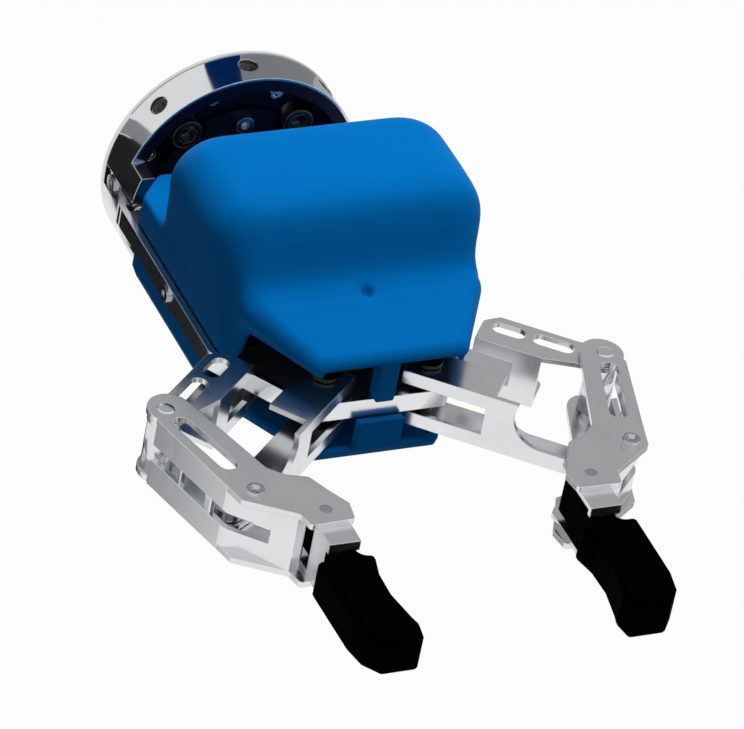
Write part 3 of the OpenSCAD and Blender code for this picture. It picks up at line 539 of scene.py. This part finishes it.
# set screws low in the side holes of the ring
setScrews = {
    "ringR": 0.0375, "z": 0.007, "angles": (45, 90, 135, 225, 270, 315),
    "profile": [
        (0.0013, -0.0036, 0), (0.0015, -0.0034, 0), (0.0015, -0.0013, 0), (0.0027, -0.0013, 0),
        (0.0027, -0.0011, 0), (0.0016, -0.001, 1), (0.00144, -0.0021, 1), (0.0003, -0.0023, 0),
    ],
}
for i, degrees in enumerate(setScrews["angles"]):
    piece = turned(
        f"ring_set_screw_{i}", setScrews["profile"],
        onCircle(setScrews["ringR"], degrees, setScrews["z"]), onCircle(1, degrees, 0),
        "motor_black", "housing",
    )
    if i == 0:
        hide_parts("ring_screws")

# finger pivots end in a flush rivet on the near side and a flat head on the far side
rivet = {
    "x": 0.0677, "y": -0.0111, "z": 0.123,
    "profile": [
        (0.0012, -0.0003, 0), (0.0021, -0.0001, 0), (0.0025, 0.0001, 0), (0.0025, 0.0042, 0),
        (0.0046, 0.0043, 0), (0.0046, 0.0200, 0), (0.0025, 0.0201, 0), (0.0025, 0.0220, 0),
        (0.0038, 0.0221, 0), (0.0039, 0.0223, 0), (0.0039, 0.0228, 0), (0.0036, 0.0231, 0),
        (0.0015, 0.0232, 0),
    ],
}
for side, sign in sides.items():
    piece = turned(
        f"{side}_finger_rivet", rivet["profile"], (sign * rivet["x"], rivet["y"], rivet["z"]),
        (0, 1, 0), "link_steel", f"{side}_finger",
    )
    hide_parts(f"{side}_outer_pin")

# socket screw at the knee of each finger bracket, seated on its near plate
kneeScrew = {
    "head": 0.0026, "height": 0.0017, "socket": 0.0015, "shank": 0.0016, "length": 0.0018,
    "seat": 0.0009,
}
for side in sides:
    low, high = (np.array(corner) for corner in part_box(f"{side}_finger_screw"))
    middle = (low + high) / 2
    spot = (middle[0], low[1] + kneeScrew["seat"], middle[2])
    piece = turned(
        f"{side}_knee_screw", capScrewProfile(kneeScrew), spot, (0, -1, 0),
        "screw_steel", f"{side}_finger",
    )
    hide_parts(f"{side}_finger_screw")
print("screws and rivets made")

# thin bars that part the long slot of each finger bracket into windows
barTurn = 0.267
bars = {
    "upper": {"centre": (0.06783, 0.0, 0.13976), "half": (0.00088, 0.0027, 0.00045), "power": 0.2},
    "lower": {"centre": (0.06453, 0.0, 0.15176), "half": (0.00088, 0.0027, 0.0016), "power": 0.2},
}
for side, sign in sides.items():
    for place, bar in bars.items():
        x, y, z = bar["centre"]
        roundedBlock(
            f"{side}_bracket_{place}_bar", bar | {"centre": (sign * x, y, z)},
            "link_steel", f"{side}_finger", turn=-sign * barTurn,
        )
print("bracket bars made")

# room and light

room = {
    "half": 6.0, "z": -0.0005, "colour": (0.88, 0.88, 0.88, 1), "roughness": 0.9,
    "glow": 0.97, "fill": 0.15,
}


def corners(centre, edgeA, edgeB):
    # a flat four sided sheet: the centre plus and minus two half edges
    centre, edgeA, edgeB = (np.array(v) for v in (centre, edgeA, edgeB))
    low, high = centre - edgeB, centre + edgeB
    return np.array([low - edgeA, low + edgeA, high + edgeA, high - edgeA])


def flatObject(name, outline, material):
    # one flat face inside the outline
    mesh = bpy.data.meshes.new(name)
    mesh.from_pydata(outline.tolist(), [], [list(range(len(outline)))])
    mesh.materials.append(material)
    obj = bpy.data.objects.new(name, mesh)
    bpy.context.scene.collection.objects.link(obj)
    return obj


def seenDirectly(tree):
    # 1 for rays from the camera, mirrors and glass, 0 for the light that falls on the object
    path = tree.nodes.new("ShaderNodeLightPath")
    result = path.outputs["Is Camera Ray"]
    for ray in ("Is Glossy Ray", "Is Transmission Ray"):
        larger = tree.nodes.new("ShaderNodeMath")
        larger.operation = "MAXIMUM"
        tree.links.new(result, larger.inputs[0])
        tree.links.new(path.outputs[ray], larger.inputs[1])
        result = larger.outputs[0]
    return result


floorMaterial = bpy.data.materials.new("floor")
floorMaterial.use_nodes = True
floorTree = floorMaterial.node_tree
floorShader = floorTree.nodes["Principled BSDF"]
floorShader.inputs["Base Color"].default_value = room["colour"]
floorShader.inputs["Roughness"].default_value = room["roughness"]
white = floorTree.nodes.new("ShaderNodeEmission")
blend = floorTree.nodes.new("ShaderNodeMixShader")
share = floorTree.nodes.new("ShaderNodeMath")
share.operation = "MULTIPLY"
share.inputs[1].default_value = room["glow"]
floorTree.links.new(seenDirectly(floorTree), share.inputs[0])
floorTree.links.new(share.outputs[0], blend.inputs["Fac"])
floorTree.links.new(floorShader.outputs[0], blend.inputs[1])
floorTree.links.new(white.outputs[0], blend.inputs[2])
floorTree.links.new(blend.outputs[0], floorTree.nodes["Material Output"].inputs["Surface"])
floorOutline = corners((0, 0, room["z"]), (room["half"], 0, 0), (0, room["half"], 0))
floor = flatObject("floor", floorOutline, floorMaterial)
# light from under the floor reaches the object, as it would if the gripper hung in the air
floor.visible_shadow = False

world = bpy.data.worlds.new("world")
bpy.context.scene.world = world
world.use_nodes = True
worldTree = world.node_tree
background = worldTree.nodes["Background"]
background.inputs["Color"].default_value = (1, 1, 1, 1)
level = worldTree.nodes.new("ShaderNodeMapRange")
level.inputs["To Min"].default_value = room["fill"]
level.inputs["To Max"].default_value = 1.0
worldTree.links.new(seenDirectly(worldTree), level.inputs["Value"])
worldTree.links.new(level.outputs["Result"], background.inputs["Strength"])

# lamps: shine says whether metal mirrors the lamp itself
lampUp = Vector((0.02, 0.01, 1))
lamps = {
    "key": {"at": (-0.43, -1.24, -0.64), "power": 15, "size": 0.8, "shine": False},
    "front": {"at": (-0.35, -1.45, 0.0), "power": 15, "size": 0.8, "shine": False},
    "top": {"at": (-0.3, -0.3, 1.8), "power": 1.5, "size": 0.6, "shine": True},
}
for name, lamp in lamps.items():
    lampData = bpy.data.lights.new(name, "AREA")
    lampData.energy = lamp["power"]
    lampData.size = lamp["size"]
    light = bpy.data.objects.new(name, lampData)
    light.location = lamp["at"]
    light.visible_glossy = lamp["shine"]
    aim(light, gripperCentre, lampUp)
    bpy.context.scene.collection.objects.link(light)

# glowing studio cards that only metal and glass see, which paint reflections on them; the ring has
# its own, round its foot, which paint the bands of reflection on its outer wall
ringReflectionCards = {"inner": 0.0379, "outer": 0.075, "z": 0.0012, "steps": 9}


def sector(start, end):
    # part of a flat ring between two angles: out along one arc and back along the other
    angle = np.linspace(start, end, ringReflectionCards["steps"])
    z = ringReflectionCards["z"] + 0 * angle
    arcs = [onCircle(ringReflectionCards["inner"], angle, z), onCircle(ringReflectionCards["outer"], angle[::-1], z)]
    return np.concatenate([arc.T for arc in arcs])


# each card's tone is the painted reflection it gives the metal
reflectionCards = {
    "front": {
        "outline": corners((-0.35, -0.70, 0.001), (0.5, 0, 0), (0, 0.68, 0)),
        "tone": (0.46, 0.46, 0.46),
    },
    "side": {
        "outline": corners((0.085, 0.05, 0.001), (0.045, 0, 0), (0, 0.07, 0)),
        "tone": (0.015, 0.015, 0.017),
    },
    "far_side": {
        "outline": corners((0.23, 0.16, 0.001), (0.09, 0, 0), (0, 0.10, 0)),
        "tone": (0.22, 0.22, 0.23),
    },
    "back": {
        "outline": corners((-0.9, 0.9, 0.16), (0.35, 0.35, 0), (0, 0, 0.16)),
        "tone": (0.03, 0.03, 0.03),
    },
    "ring_dark": {"outline": sector(-21, 0), "tone": (0.02, 0.02, 0.022)},
    "ring_grey": {"outline": sector(-30, -21.5), "tone": (0.3, 0.31, 0.32)},
    "ring_white": {"outline": sector(-72, -30.5), "tone": (1.0, 1.0, 1.0)},
    "ring_navy": {"outline": sector(-90, -72.5), "tone": (0.0, 0.02, 0.10)},
    "ring_pale": {"outline": sector(-134, -90.5), "tone": (0.25, 0.26, 0.27)},
}
for name, card in reflectionCards.items():
    cardMaterial = bpy.data.materials.new(f"reflection_card_{name}")
    cardMaterial.use_nodes = True
    cardTree = cardMaterial.node_tree
    glow = cardTree.nodes.new("ShaderNodeEmission")
    glow.inputs["Color"].default_value = (*card["tone"], 1)
    cardTree.links.new(glow.outputs[0], cardTree.nodes["Material Output"].inputs["Surface"])
    piece = flatObject(f"reflection_card_{name}", card["outline"], cardMaterial)
    piece.visible_camera = False
    piece.visible_diffuse = False
    piece.visible_shadow = False
    piece.visible_transmission = False
print("room and lights made")
